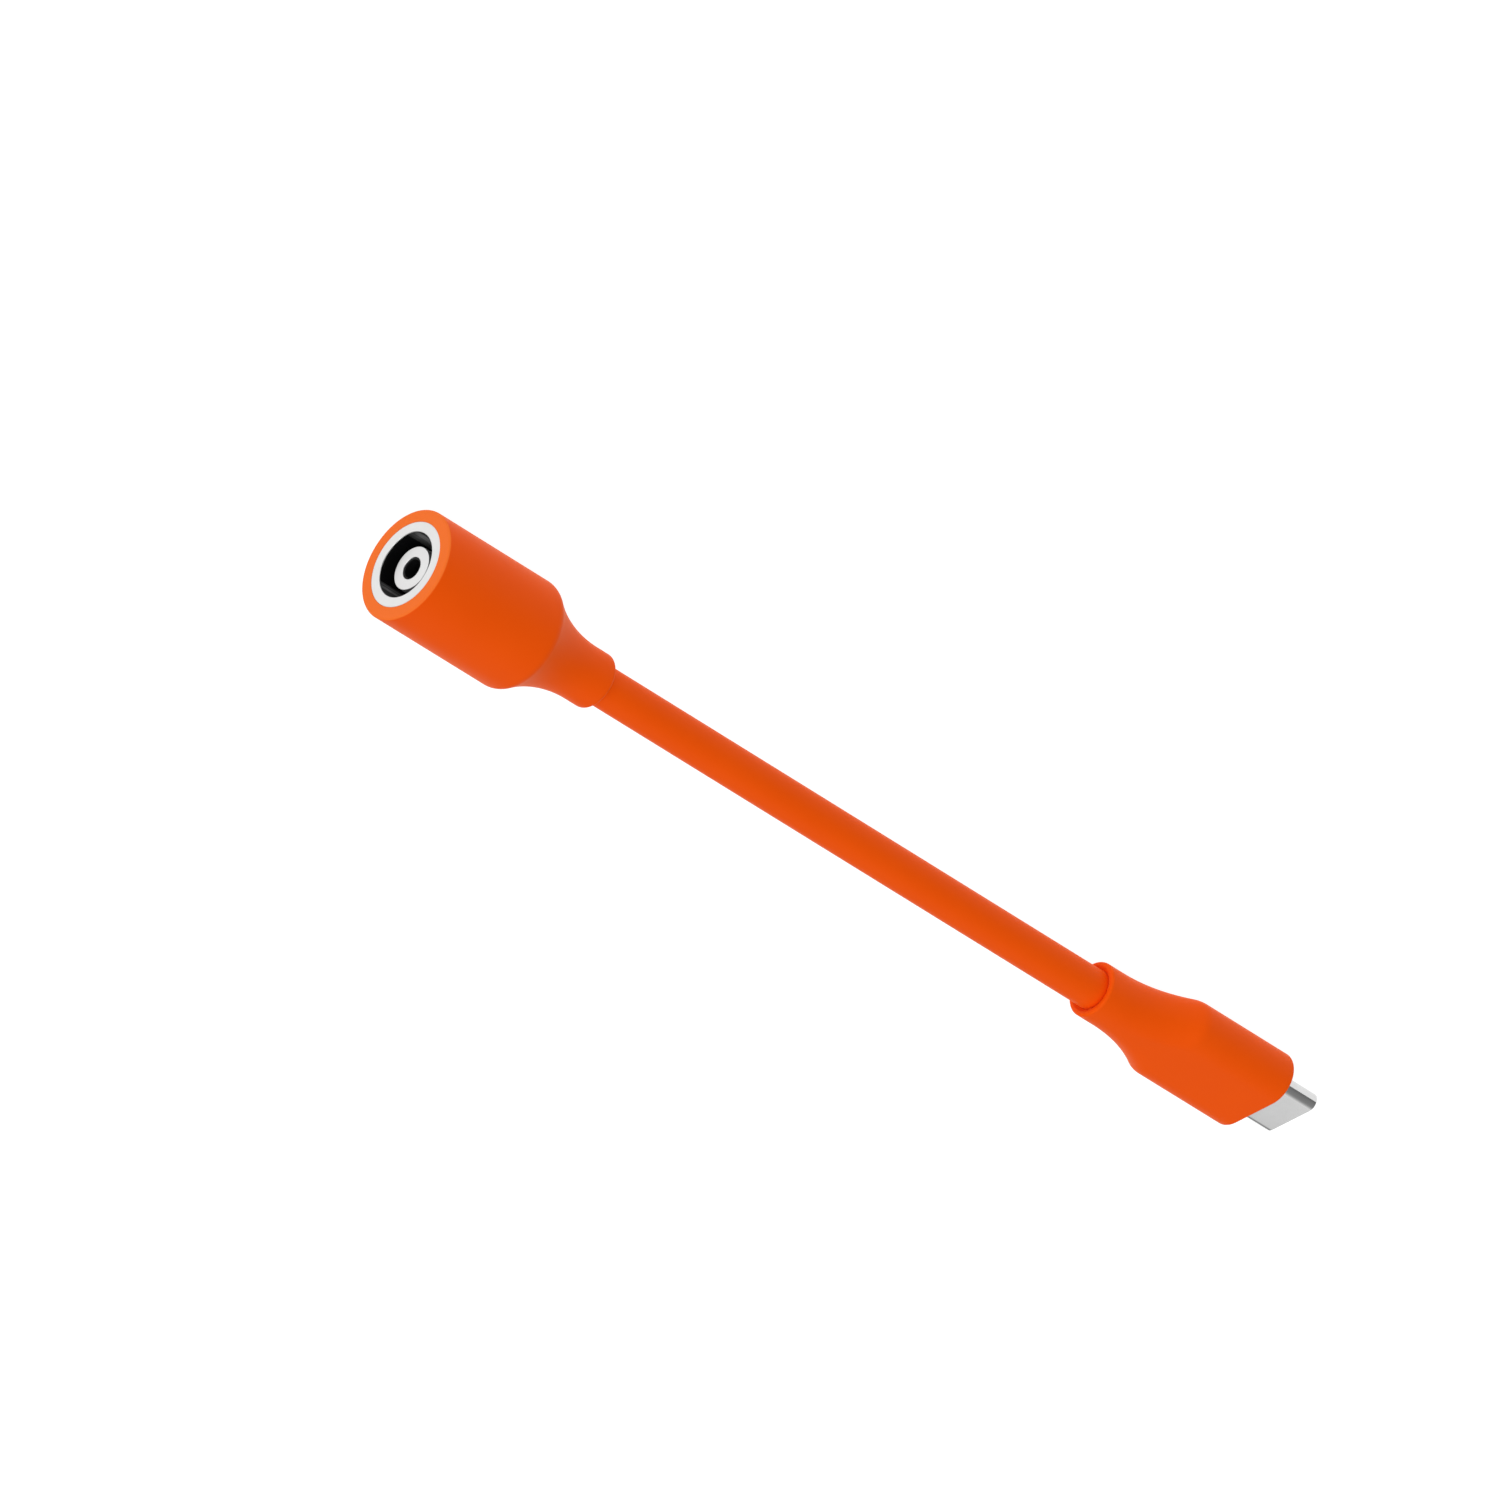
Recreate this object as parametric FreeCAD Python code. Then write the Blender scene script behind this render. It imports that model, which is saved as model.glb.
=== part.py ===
import FreeCAD, Part
import math
import os

# Short adapter lead: an 8 mm barrel socket and a thin racetrack plug, moulded on the ends of a round cable.
# Millimetres. +X runs along the lead from the socket's mouth face (x = 0) to the plug, +Z is up, and the
# plug's broad faces are level. Every piece is a solid of its own and is written to parts/NODE.step.

# --- Socket overmould ---
body_r = 7.0             # outside of the round body
body_length = 18.4       # straight body, mouth face to the start of the shoulder
mouth_fillet = 0.3       # rounding of the mouth's outer edge
shoulder_r = 1.8         # convex arc at the shoulder
neck_r = 17.2            # concave arc down to the collar
collar_straight = 2.4    # straight part of the socket's collar
collar_fillet = 0.5      # rounding of its end

# --- Socket contacts ---
bore_r = 4.15            # bore that takes the mating barrel
barrel_wall = 0.82       # outer contact barrel, outside the liner
barrel_lip = 0.15        # thin lip that holds the liner
barrel_chamfer = 0.08
liner_wall = 0.45
socket_depth = 11.5      # mouth to the floor of the bore
base_thickness = 2.5
centre_tube_r = 2.75
centre_seat_r = 2.4      # tube's rear part, stepped down to seat in the base
centre_hole_r = 1.4
centre_recess = 1.0      # centre tube's face behind the mouth
centre_stub = 1.0        # centre tube standing out behind the base
pin_recess = 3.0         # pin insulator's face behind the centre tube's face
pin_sleeve_wall = 0.2    # insulator's sleeve lining the centre hole in front of that face
pin_sleeve_recess = 0.15 # sleeve's rim behind the centre tube's face
pin_contact_r = 0.65
pin_bore_r = 0.5         # takes the mating centre pin
pin_bore_depth = 8.0
pin_contact_recess = 0.5 # pin contact's end inside its insulator
pin_tail_r = 0.3
pin_stub = 0.5           # insulator standing out behind the centre tube
spring_count = 4
spring_start = 6.4       # from the mouth
spring_length = 4.2
spring_width = 1.2
spring_bow = 0.5         # how far a spring stands into the bore's wall
spring_thickness = 0.15
terminal_thickness = 0.3
terminal_width = 2.0
terminal_gap = 0.65      # barrel's lug clear of the centre tube
tail_step_start = 0.3    # where a terminal's tail steps in, as shares of its run
tail_step_end = 0.55
mould_step = 0.2         # inner mould and barrel's lug smaller than the barrel
mould_past_body = 0.4    # inner mould's wide part past the straight body

# --- Cable ---
jacket_wall = 0.62
collar_wall = 1.0        # moulding around the jacket in both collars
cable_free = 85.3        # cable seen between the two collars
jacket_grip = 7.3        # cable held inside the socket's collar and neck
jacket_plug_grip = 4.9   # cable held inside the plug's collar
power_copper_r = 0.5
power_cover = 0.38       # insulation of the two power wires
sense_copper_r = 0.18
sense_cover = 0.2
wire_gap = 0.07          # each power wire clear of the level middle plane
filler_r = 0.5
relief_width = 0.5       # shallow cone that eases each collar off the jacket
relief_depth = 0.4
strip_length = 1.3       # insulation standing out of the jacket at the socket
tail_clear = 1.2         # terminals' tails clear of the insulation
bare_overlap = 3.0       # bare copper lying along a terminal's tail
pin_tail_clear = 1.4     # pin contact's tail shorter than the terminals' tails
sense_lead = 0.2         # thin conductor straight before its bend
sense_bend_r = 1.2
sense_reach = 2.0        # thin conductor lying on the board
power_reach = 2.1        # power conductors lying on the board
cover_stop = 0.5         # insulation's end short of the board
solder_rise = 0.22       # solder standing round a power conductor
solder_film = 0.05       # solder between a conductor and what it lies on
sense_bead_r = 0.34      # solder round the thin conductor and the pin's tail
bead_taper = 0.3         # each solder bead slims at both ends
bead_step = 0.15
bead_lead = 0.3          # bare copper in front of a bead
bead_tail = 0.4          # terminal's tail seen behind a bead
mould_overlap = 1.0      # inner mould and ferrule's grip held past the jacket's end

# --- Plug overmould ---
grip_side = 2.275        # moulding beyond the tip's shell at each side
plug_collar_straight = 3.0
collar_flat = 0.05       # half the flat left between the collar's two half rounds
flare_r = 21.4           # concave arc from the collar outward
grip_shoulder_r = 3.0    # convex arc into the straight grip
grip_length = 14.45      # straight grip up to the front face
grip_front_fillet = 0.28
grip_rear_fillet = 0.35
mould_wall = 1.0         # overmould thickness around the inner mould
front_wall = 1.5         # overmould thickness around the tip's shell

# --- Plug tip and its inside ---
tip_length = 6.55        # shell standing out of the grip
shell_width = 8.25
shell_height = 2.4
shell_wall = 0.3
shell_length = 10.5
shell_lip_fillet = 0.12
housing_length = 5.7
housing_recess = 0.15
cavity_half_width = 3.3
cavity_half_height = 0.68
latch_slot_half_width = 3.62
latch_slot_half_height = 0.3
latch_slot_recess = 0.5  # latch slot's end behind the housing's front
contact_pitch = 0.5
contact_width = 0.25
contact_thickness = 0.12
contact_tail = 1.8
contact_roof_gap = 0.04  # beam clear of the cavity's roof
contact_rise_start = 0.3 # rise to the beam, from the housing's back
contact_rise_end = 1.3
bump_start = 2.3         # sprung bump, back from the housing's front
bump_top = 1.6
bump_end = 1.0
bump_height = 0.24
bump_end_height = 0.08
contact_places = 12
upper_places = (0, 3, 4, 5, 6, 8, 11)
lower_places = (0, 3, 7, 8, 11)
latch_thickness = 0.2
latch_arm_height = 0.5
latch_arm_root = 0.6     # arm held in the carriers behind the housing
latch_hook = 1.6         # hook's point, back from the housing's front
latch_hook_run = 1.0
latch_hook_reach = 0.3   # hook's point inside the cavity's side
latch_nose_run = 0.7
latch_nose_reach = 0.05
ground_spring_length = 2.2
ground_spring_half_width = 2.6
ground_spring_thickness = 0.1
ground_spring_recess = 0.8
board_length = 10.5
board_side = 0.125       # board narrower than the shell at each side
chip_size = 3.0
chip_height = 0.75
chip_start = 3.6         # from the board's back edge
small_part = (1.0, 0.5, 0.35)
small_start = 4.0
small_lower_y = (-2.5, -1.0, 0.5, 2.0)
small_upper_y = (-3.1, 2.6)
plug_bead_start = 0.5    # solder on the board, from its back edge
plug_bead_end = 1.9
sense_solder_rise = 0.17
can_side = 0.525         # can beyond the tip's shell at each side
can_over = 1.0           # and above and below it
can_wall = 0.2
can_corner_r = 1.0
can_front_lap = 1.0      # can reaching over the back of the shell
ferrule_wall = 0.5
ferrule_length = 2.4

# --- Clearances ---
snug = 0.05              # one piece slipped past another
spring_side_gap = 0.2    # each side of a contact spring in its window

# --- Sizes that follow ---
barrel_r = bore_r + liner_wall + barrel_wall
power_wire_r = power_copper_r + power_cover
power_wire_offset = power_wire_r + wire_gap   # red wire this far above the axis, black wire as far below
board_thickness = 2 * (power_wire_offset - power_copper_r - solder_film)
jacket_bore_r = power_wire_offset + power_wire_r + snug
jacket_r = jacket_bore_r + jacket_wall
collar_r = jacket_r + collar_wall
sense_wire_r = sense_copper_r + sense_cover
sense_offset = jacket_bore_r - snug - sense_wire_r
sense_wire_z = board_thickness / 2 + solder_film + sense_copper_r
sense_wire_y = math.sqrt(sense_offset ** 2 - sense_wire_z ** 2)
sense_angle = math.degrees(math.atan2(sense_wire_z, sense_wire_y))
filler_y = filler_r + snug - jacket_bore_r
side_round_r = collar_r
grip_width = shell_width + 2 * grip_side
board_width = shell_width - 2 * board_side
can_half_width = shell_width / 2 + can_side
can_half_height = shell_height / 2 + can_over

# --- Places along the axis ---
neck_angle = math.acos(1 - (body_r - collar_r) / (shoulder_r + neck_r))
neck_end = body_length + (shoulder_r + neck_r) * math.sin(neck_angle)
socket_length = neck_end + collar_straight
base_end = socket_depth + base_thickness
tube_end = base_end + centre_stub
jacket_start = socket_length - jacket_grip
tail_end = jacket_start - strip_length - tail_clear
plug_rear = socket_length + cable_free
jacket_end = plug_rear + jacket_plug_grip
flare_start = plug_rear + plug_collar_straight
grip_flat = grip_width / 2 - side_round_r
flare_angle = math.acos(1 - (grip_flat - collar_flat) / (flare_r + grip_shoulder_r))
flare_end = flare_start + (flare_r + grip_shoulder_r) * math.sin(flare_angle)
plug_front = flare_end + grip_length
tip_end = plug_front + tip_length
shell_back = tip_end - shell_length
housing_front = tip_end - housing_recess
housing_back = housing_front - housing_length
board_front = shell_back
board_back = board_front - board_length
can_front = shell_back + can_front_lap
can_back = board_back - can_wall - 2 * snug
inner_mould_front = plug_front - front_wall


def vector(x, y=0.0, z=0.0):
    return FreeCAD.Vector(x, y, z)


AXIS = vector(1, 0, 0)


def rod(radius, start, end, y=0.0, z=0.0):
    """Round bar along X between two places."""
    return Part.makeCylinder(radius, end - start, vector(start, y, z), AXIS)


def tube(outer, inner, start, end, y=0.0, z=0.0):
    return rod(outer, start, end, y, z).cut(rod(inner, start, end, y, z))


def block(x0, x1, y0, y1, z0, z1):
    return Part.makeBox(x1 - x0, y1 - y0, z1 - z0, vector(x0, y0, z0))


def turned(points):
    """Solid turned about the X axis from a closed outline of (x, radius) points."""
    corners = [vector(x, radius) for x, radius in points]
    outline = Part.makePolygon(corners + corners[:1])
    return Part.Face(outline).revolve(vector(0), AXIS, 360)


def cut_all(shape, tools):
    for tool in tools:
        shape = shape.cut(tool)
    return shape


def group(solids):
    return Part.makeCompound(solids)


def line(a, b):
    return Part.LineSegment(a, b).toShape()


def s_bend(x0, y0, y1, first_r, second_r):
    """Two arcs tangent to each other, both ends parallel to X, from (x0, y0) to the height y1."""
    rise = abs(y1 - y0)
    side = 1 if y1 > y0 else -1
    angle = math.acos(1 - rise / (first_r + second_r))
    end_x = x0 + (first_r + second_r) * math.sin(angle)

    def on_first(turn):
        return vector(x0 + first_r * math.sin(turn), y0 + side * first_r * (1 - math.cos(turn)))

    def on_second(turn):
        return vector(end_x - second_r * math.sin(turn), y1 - side * second_r * (1 - math.cos(turn)))

    first = Part.Arc(on_first(0), on_first(angle / 2), on_first(angle)).toShape()
    second = Part.Arc(on_first(angle), on_second(angle / 2), on_second(0)).toShape()
    return [first, second]


def quarter(centre, radius, start_angle):
    """Quarter arc in the XY plane, clockwise from start_angle in degrees."""
    spots = []
    for turn in (0, 45, 90):
        angle = math.radians(start_angle - turn)
        spots.append(centre + vector(radius * math.cos(angle), radius * math.sin(angle)))
    return Part.Arc(*spots).toShape()


def racetrack(width, height, start, end):
    """Bar along X with two flats and two full half rounds."""
    radius = height / 2
    flat = width / 2 - radius
    middle = block(start, end, -flat, flat, -radius, radius)
    sides = [rod(radius, start, end, y=flat), rod(radius, start, end, y=-flat)]
    return middle.fuse(sides).removeSplitter()


def strip(path, thickness, width, y=0.0):
    """Flat strip bent along (x, z) points, with mitred bends, centred on y."""
    left = []
    right = []
    for i, (x, z) in enumerate(path):
        normals = []
        for j in (i - 1, i):
            if 0 <= j < len(path) - 1:
                dx = path[j + 1][0] - path[j][0]
                dz = path[j + 1][1] - path[j][1]
                size = math.hypot(dx, dz)
                normals.append((-dz / size, dx / size))
        nx = sum(n[0] for n in normals)
        nz = sum(n[1] for n in normals)
        scale = thickness / 2 / ((nx * normals[0][0] + nz * normals[0][1]))
        left.append(vector(x + nx * scale, y - width / 2, z + nz * scale))
        right.append(vector(x - nx * scale, y - width / 2, z - nz * scale))
    outline = left + right[::-1]
    face = Part.Face(Part.makePolygon(outline + outline[:1]))
    return face.extrude(vector(0, width, 0))


def mirrored_z(shape):
    return shape.mirror(vector(0), vector(0, 0, 1))


# --- Socket ---

def barrel():
    back = base_end
    wide = bore_r + liner_wall
    return turned([
        (0, bore_r + barrel_chamfer), (0, barrel_r - barrel_chamfer), (barrel_chamfer, barrel_r),
        (back, barrel_r), (back, wide), (barrel_lip, wide), (barrel_lip, bore_r),
        (barrel_chamfer, bore_r),
    ])


def around_the_bore(shape):
    """Copies of a shape made above the axis, spread evenly and turned half a step."""
    step = 360 / spring_count
    copies = []
    for i in range(spring_count):
        copy = shape.copy()
        copy.rotate(vector(0), AXIS, step * (i + 0.5))
        copies.append(copy)
    return copies


def spring_window():
    half = spring_width / 2 + spring_side_gap
    start = spring_start - spring_side_gap
    end = spring_start + spring_length + spring_side_gap
    return block(start, end, -half, half, 0.5 * bore_r, barrel_r)


def barrel_spring():
    """Leaf bowed inward in its window, its two ends against the barrel's wall."""
    wall_r = bore_r + liner_wall
    top = math.sqrt(wall_r ** 2 - (spring_width / 2) ** 2)
    middle = spring_start + spring_length / 2
    end = spring_start + spring_length
    low = top - spring_bow
    under = spring_thickness
    upper = Part.Arc(
        vector(spring_start, 0, top), vector(middle, 0, low), vector(end, 0, top)).toShape()
    lower = Part.Arc(
        vector(spring_start, 0, top - under), vector(middle, 0, low - under),
        vector(end, 0, top - under)).toShape()
    ends = [line(vector(x, 0, top), vector(x, 0, top - under)) for x in (spring_start, end)]
    outline = Part.Wire(Part.__sortEdges__([upper, lower] + ends))
    leaf = Part.Face(outline).extrude(vector(0, spring_width, 0))
    leaf.translate(vector(0, -spring_width / 2, 0))
    return leaf


def bore_liner():
    sleeve = tube(bore_r + liner_wall, bore_r, barrel_lip, socket_depth)
    return cut_all(sleeve, around_the_bore(spring_window()))


def socket_base():
    return tube(bore_r + liner_wall, centre_seat_r, socket_depth, base_end)


def centre_tube():
    front = centre_recess
    edge = barrel_chamfer
    return turned([
        (front, centre_hole_r + edge), (front, centre_tube_r - edge), (front + edge, centre_tube_r),
        (socket_depth, centre_tube_r), (socket_depth, centre_seat_r), (tube_end, centre_seat_r),
        (tube_end, centre_hole_r), (front + edge, centre_hole_r),
    ])


def pin_insulator():
    rim = centre_recess + pin_sleeve_recess
    face = centre_recess + pin_recess
    sleeve_r = centre_hole_r - pin_sleeve_wall
    end = tube_end + pin_stub
    return turned([
        (rim, sleeve_r), (rim, centre_hole_r), (end, centre_hole_r), (end, pin_contact_r),
        (face, pin_contact_r), (face, sleeve_r),
    ])


def pin_tail_end():
    return tail_end - pin_tail_clear


def pin_contact():
    front = centre_recess + pin_recess + pin_contact_recess
    hole_end = front + pin_bore_depth
    wide_end = tube_end + pin_stub
    return turned([
        (front, pin_bore_r), (front, pin_contact_r), (wide_end, pin_contact_r),
        (wide_end, pin_tail_r), (pin_tail_end(), pin_tail_r), (pin_tail_end(), 0),
        (hole_end, 0), (hole_end, pin_bore_r),
    ])


def tail_height():
    """Middle of a terminal's tail, lying on the outer side of its copper."""
    return power_wire_offset + power_copper_r + solder_film + terminal_thickness / 2


def terminal(ring_inner, ring_outer, start, strip_z):
    """Ring lug with a tail that steps in to the wire."""
    ring = tube(ring_outer, ring_inner, start, start + terminal_thickness)
    span = tail_end - start
    path = [
        (start, strip_z), (start + tail_step_start * span, strip_z),
        (start + tail_step_end * span, tail_height()), (tail_end, tail_height()),
    ]
    tail = strip(path, terminal_thickness, terminal_width)
    return ring.fuse(tail).removeSplitter()


def barrel_terminal():
    ring_outer = barrel_r - mould_step
    ring_inner = centre_tube_r + terminal_gap
    lug = terminal(ring_inner, ring_outer, base_end, (ring_inner + ring_outer) / 2)
    return mirrored_z(lug)


def centre_terminal():
    ring_inner = centre_hole_r + snug
    ring_outer = centre_seat_r - snug
    return terminal(ring_inner, ring_outer, tube_end, (ring_inner + ring_outer) / 2)


def joint_start():
    """Where the bare copper starts, at the socket end."""
    return tail_end - bare_overlap


def sense_copper():
    """Thin conductor that steps in beside the pin contact's tail."""
    low = pin_tail_r + solder_film + sense_copper_r
    high = sense_offset
    start = joint_start() + sense_lead
    step_start = pin_tail_end() + sense_lead
    bend = s_bend(step_start, low, high, sense_bend_r, sense_bend_r)
    step_end = bend[-1].BoundBox.XMax
    first = line(vector(start, low), vector(step_start, low))
    last = line(vector(step_end, high), vector(board_back + sense_reach, high))
    path = Part.Wire([first] + bend + [last])
    ring = Part.Wire(Part.makeCircle(sense_copper_r, vector(start, low), AXIS))
    wire = path.makePipeShell([ring], True, True)
    wire.rotate(vector(0), AXIS, sense_angle)
    return wire


def power_copper(side):
    return rod(power_copper_r, joint_start(), board_back + power_reach, z=side * power_wire_offset)


def wire_cover(wire_r, copper_r, y, z):
    return tube(wire_r, copper_r, jacket_start - strip_length, board_back - cover_stop, y, z)


def round_joint(radius, start, end, y, z):
    """Bead of solder around a conductor, tapering at both ends."""
    slim = radius - bead_step
    bead = turned([
        (start, 0), (start, slim), (start + bead_taper, radius),
        (end - bead_taper, radius), (end, slim), (end, 0),
    ])
    bead.translate(vector(0, y, z))
    return bead


def socket_solder():
    start = joint_start() + bead_lead
    end = tail_end - bead_tail
    plane = tail_height() - terminal_thickness / 2
    between = block(start - 1, end + 1, -body_r, body_r, power_wire_offset - solder_rise, plane)
    upper = round_joint(power_copper_r + solder_rise, start, end, 0, power_wire_offset)
    upper = upper.common(between).cut(power_copper(1))
    lower = mirrored_z(upper)
    middle = pin_tail_r + sense_copper_r / 2
    turn = math.radians(sense_angle)
    small = round_joint(
        sense_bead_r, start, pin_tail_end() - sense_lead, middle * math.cos(turn), middle * math.sin(turn))
    small = cut_all(small, [pin_contact(), sense_copper(), power_copper(1), power_copper(-1), upper, lower])
    return group([upper, lower, largest(small)])


def largest(shape):
    return max(shape.Solids, key=lambda solid: solid.Volume)


def inner_mould_profile():
    wide = barrel_r - mould_step
    slim = jacket_r + ferrule_wall
    wide_end = body_length + mould_past_body
    slim_end = jacket_start + mould_overlap
    return turned([(base_end, 0), (base_end, wide), (wide_end, wide), (slim_end, slim), (slim_end, 0)])


def cable_pieces():
    """Jacket, wires, conductors and filler, as they lie through the whole lead."""
    jacket = tube(jacket_r, jacket_bore_r, jacket_start, jacket_end)
    high = power_wire_offset
    return {
        "cable_jacket": jacket,
        "red_wire_insulation": wire_cover(power_wire_r, power_copper_r, 0, high),
        "black_wire_insulation": wire_cover(power_wire_r, power_copper_r, 0, -high),
        "white_wire_insulation": wire_cover(sense_wire_r, sense_copper_r, sense_wire_y, sense_wire_z),
        "red_wire_copper": power_copper(1),
        "black_wire_copper": power_copper(-1),
        "white_wire_copper": sense_copper(),
        "filler_cord": rod(filler_r, jacket_start, jacket_end, y=filler_y),
    }


def socket_pieces(cable):
    pieces = {
        "outer_barrel": barrel(),
        "bore_liner": bore_liner(),
        "barrel_springs": group(around_the_bore(barrel_spring())),
        "socket_base": socket_base(),
        "centre_tube": centre_tube(),
        "pin_insulator": pin_insulator(),
        "pin_contact": pin_contact(),
        "barrel_terminal": barrel_terminal(),
        "centre_terminal": centre_terminal(),
        "socket_solder_joints": socket_solder(),
    }
    inside = list(pieces.values()) + list(cable.values()) + [rod(jacket_r, jacket_start, jacket_end)]
    pieces["socket_inner_mould"] = largest(cut_all(inner_mould_profile(), inside))
    return pieces


def collar_relief(start, start_r, end_r):
    """Cone that eases the moulding off the jacket at a collar's face."""
    return Part.makeCone(start_r, end_r, relief_depth, vector(start), AXIS)


def socket_overmould():
    """Turned outside with a tapering neck, over the barrel, the inner mould and the cable."""
    top = line(vector(mouth_fillet, body_r), vector(body_length, body_r))
    neck = s_bend(body_length, body_r, collar_r, shoulder_r, neck_r)
    end_x = socket_length - collar_fillet
    collar = line(vector(neck_end, collar_r), vector(end_x, collar_r))
    edges = [
        line(vector(0), vector(0, body_r - mouth_fillet)),
        quarter(vector(mouth_fillet, body_r - mouth_fillet), mouth_fillet, 180),
        top, *neck, collar,
        quarter(vector(end_x, collar_r - collar_fillet), collar_fillet, 90),
        line(vector(socket_length, collar_r - collar_fillet), vector(socket_length)),
        line(vector(socket_length), vector(0)),
    ]
    outside = Part.Face(Part.Wire(edges)).revolve(vector(0), AXIS, 360)
    relief = collar_relief(socket_length - relief_depth, jacket_r, jacket_r + relief_width)
    jacket = rod(jacket_r, base_end, socket_length)
    hollows = [rod(barrel_r, 0, base_end), inner_mould_profile(), jacket, relief]
    return cut_all(outside, hollows)


# --- Plug ---

def grip_bar(radius):
    """Bar whose two side rounds part along the flare; a smaller radius gives the space inside the mould."""
    bend = s_bend(flare_start, collar_flat, grip_flat, flare_r, grip_shoulder_r)
    path = [line(vector(plug_rear, collar_flat), vector(flare_start, collar_flat))] + bend
    path.append(line(vector(flare_end, grip_flat), vector(plug_front, grip_flat)))
    start = vector(plug_rear, collar_flat)
    down = vector(0, 0, -radius)
    out = vector(0, radius, 0)
    halves = [
        Part.Arc(start + down, start + out, start - down).toShape(),
        Part.Arc(start - down, start - out, start + down).toShape(),
    ]
    sweep = Part.BRepOffsetAPI.MakePipeShell(Part.Wire(path))
    sweep.setTrihedronMode(vector(0), AXIS)
    sweep.add(Part.Wire(halves))
    sweep.build()
    sweep.makeSolid()
    side = sweep.shape()
    flip = vector(0, 1, 0)
    other_path = [edge.mirror(vector(0), flip) for edge in path]
    ends = [
        line(vector(plug_rear, collar_flat), vector(plug_rear, -collar_flat)),
        line(vector(plug_front, grip_flat), vector(plug_front, -grip_flat)),
    ]
    plan = Part.Face(Part.Wire(Part.__sortEdges__(path + other_path + ends)))
    plan.translate(down)
    slab = plan.extrude(vector(0, 0, 2 * radius))
    return side.fuse([side.mirror(vector(0), flip), slab]).removeSplitter()


def edges_at(shape, x):
    near = 1e-5
    return [e for e in shape.Edges if abs(e.BoundBox.XMin - x) < near and abs(e.BoundBox.XMax - x) < near]


def inner_mould_space():
    middle = block(jacket_end, inner_mould_front, -body_r, body_r, -body_r, body_r)
    return grip_bar(side_round_r - mould_wall).common(middle)


def ferrule_start():
    return jacket_end - ferrule_length - mould_overlap


def cable_ferrule():
    start = ferrule_start()
    return tube(jacket_r + ferrule_wall, jacket_r, start, start + ferrule_length)


def plug_overmould():
    outside = grip_bar(side_round_r)
    outside = outside.makeFillet(grip_front_fillet, edges_at(outside, plug_front))
    outside = outside.makeFillet(grip_rear_fillet, edges_at(outside, plug_rear))
    ferrule = rod(jacket_r + ferrule_wall, ferrule_start(), ferrule_start() + ferrule_length)
    shell = racetrack(shell_width, shell_height, inner_mould_front, plug_front)
    relief = collar_relief(plug_rear, jacket_r + relief_width, jacket_r)
    jacket = rod(jacket_r, plug_rear, jacket_end)
    hollows = [jacket, relief, ferrule, inner_mould_space(), can_envelope(0), shell]
    return cut_all(outside, hollows)


def plug_shell():
    outside = racetrack(shell_width, shell_height, shell_back, tip_end)
    outside = outside.makeFillet(shell_lip_fillet, edges_at(outside, tip_end))
    return outside.cut(shell_inside(shell_back, tip_end))


def shell_inside(start, end):
    return racetrack(shell_width - 2 * shell_wall, shell_height - 2 * shell_wall, start, end)


def ground_pocket():
    """Shallow pocket on top of the front housing, for one ground spring."""
    inner_top = shell_height / 2 - shell_wall
    end = housing_front - ground_spring_recess
    half = ground_spring_half_width
    return block(end - ground_spring_length, end, -half, half, inner_top - ground_spring_thickness, inner_top)


def plug_front_housing():
    housing = shell_inside(housing_back, housing_front)
    wide = cavity_half_width
    tall = cavity_half_height
    cavity = block(housing_back, housing_front, -wide, wide, -tall, tall)
    slot_y = latch_slot_half_width
    slot_z = latch_slot_half_height
    slots = block(housing_back, housing_front - latch_slot_recess, -slot_y, slot_y, -slot_z, slot_z)
    pockets = [ground_pocket(), mirrored_z(ground_pocket())]
    return cut_all(housing, [cavity, slots] + pockets)


def contact(place):
    """One contact: a tail on the board, a straight run in the carrier and a sprung beam with its bump."""
    on_board = board_thickness / 2 + contact_thickness / 2
    beam = cavity_half_height - contact_thickness / 2 - contact_roof_gap
    path = [
        (board_front - contact_tail, on_board), (housing_back + contact_rise_start, on_board),
        (housing_back + contact_rise_end, beam), (housing_front - bump_start, beam),
        (housing_front - bump_top, beam - bump_height),
        (housing_front - bump_end, beam - bump_end_height),
    ]
    y = (place - (contact_places - 1) / 2) * contact_pitch
    return strip(path, contact_thickness, contact_width, y)


def contact_row(places):
    return group([contact(place) for place in places])


def contact_carrier(contacts):
    """Moulded block around the contacts' straight runs, above the latch plate."""
    block_above = block(board_front, housing_back, -body_r, body_r, latch_thickness / 2, body_r)
    return shell_inside(board_front, housing_back).common(block_above).cut(contacts)


def latch_plate():
    """Middle plate with a hooked arm along each side of the cavity."""
    half = latch_thickness / 2
    arm_y = latch_slot_half_width - snug
    plate = block(board_front, housing_back, -arm_y, arm_y, -half, half)
    hook_x = housing_front - latch_hook
    path = [
        (housing_back - latch_arm_root, arm_y - half), (hook_x - latch_hook_run, arm_y - half),
        (hook_x, cavity_half_width - latch_hook_reach),
        (hook_x + latch_nose_run, cavity_half_width - latch_nose_reach),
    ]
    arm = strip(path, latch_thickness, latch_arm_height)
    arm.rotate(vector(0), AXIS, -90)
    carrier_zone = block(board_front, housing_back, -body_r, body_r, -body_r, body_r)
    arm = arm.cut(carrier_zone.cut(plate))
    return plate.fuse([arm, arm.mirror(vector(0), vector(0, 1, 0))]).removeSplitter()


def circuit_board():
    half = board_thickness / 2
    return block(board_back, board_front, -board_width / 2, board_width / 2, -half, half)


def controller_chip():
    top = board_thickness / 2
    start = board_back + chip_start
    half = chip_size / 2
    return block(start, start + chip_size, -half, half, top, top + chip_height)


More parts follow.
